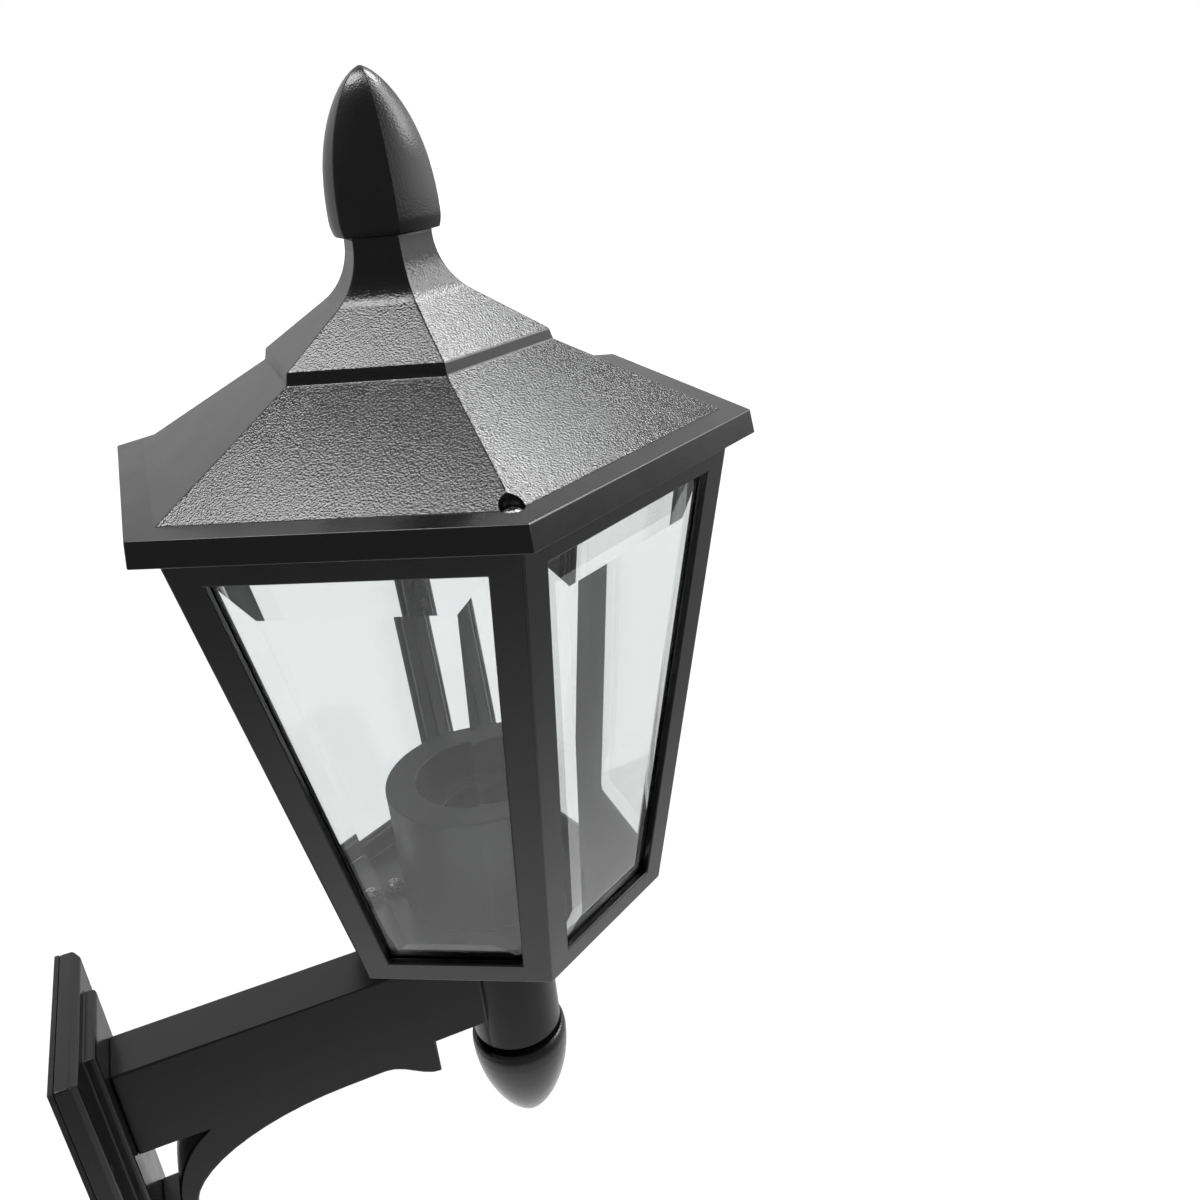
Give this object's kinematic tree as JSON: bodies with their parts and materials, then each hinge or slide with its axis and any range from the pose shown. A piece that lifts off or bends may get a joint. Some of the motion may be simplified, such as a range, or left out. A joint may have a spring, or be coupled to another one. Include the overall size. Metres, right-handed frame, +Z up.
{
  "type": "outdoor wall light",
  "caption": "Six-sided glazed lantern with a lift-off hipped roof and finials, on a stem held by a braced arm and a wall plate, with a screw lamp holder inside.",
  "frame": {"origin": "centre of the seal's back on the wall, behind the wall plate's middle", "axes": "+Z up, +Y into the wall along the arm, +X across the wall; the lantern's axis is vertical, 150 mm out from the wall"},
  "size_m": [0.2, 0.2366, 0.406],
  "materials": {
    "grained_coat": "black powder coat with a fine glossy grain",
    "black_coat": "black powder coat, satin, fine grain",
    "satin_coat": "smooth black coat, semi-gloss",
    "clear_glass": "clear, ground bevels, polished",
    "holder_plastic": "dark grey moulded plastic, satin",
    "holder_insert": "dark heat-resistant moulding, satin",
    "terminal_plastic": "natural moulded plastic",
    "lead_brown": "brown insulation",
    "lead_blue": "blue insulation",
    "seal_rubber": "black foam rubber, matt",
    "steel": "zinc-plated steel",
    "brass": "plain brass"
  },
  "bodies": {
    "lantern": {"wall_gasket": "seal_rubber", "wall_plate": "black_coat", "arm_bracket": "black_coat", "bracket_screws": "steel", "terminal_block": "terminal_plastic", "terminal_screws": "brass", "earth_screw": "brass", "lead_live": "lead_brown", "lead_neutral": "lead_blue", "hollow_rod": "steel", "rod_washer": "steel", "rod_nut": "steel", "drop_collar": "black_coat", "drop_finial": "satin_coat", "lantern_frame": "black_coat", "pane_1": "clear_glass", "pane_2": "clear_glass", "pane_3": "clear_glass", "pane_4": "clear_glass", "pane_5": "clear_glass", "pane_6": "clear_glass", "holder_cup": "holder_plastic", "cup_screws": "steel", "lamp_holder": "holder_insert", "centre_contact": "brass", "side_contacts": "brass", "rim_gasket": "seal_rubber"},
    "roof": {"roof": "grained_coat", "roof_screws": "steel", "roof_finial": "satin_coat", "finial_bolt": "steel"}
  },
  "joints": [
    {"name": "roof_lift", "type": "slide", "parent": "lantern", "child": "roof", "axis": [0, 0, 1], "range_m": [0, 0.12]}
  ]
}
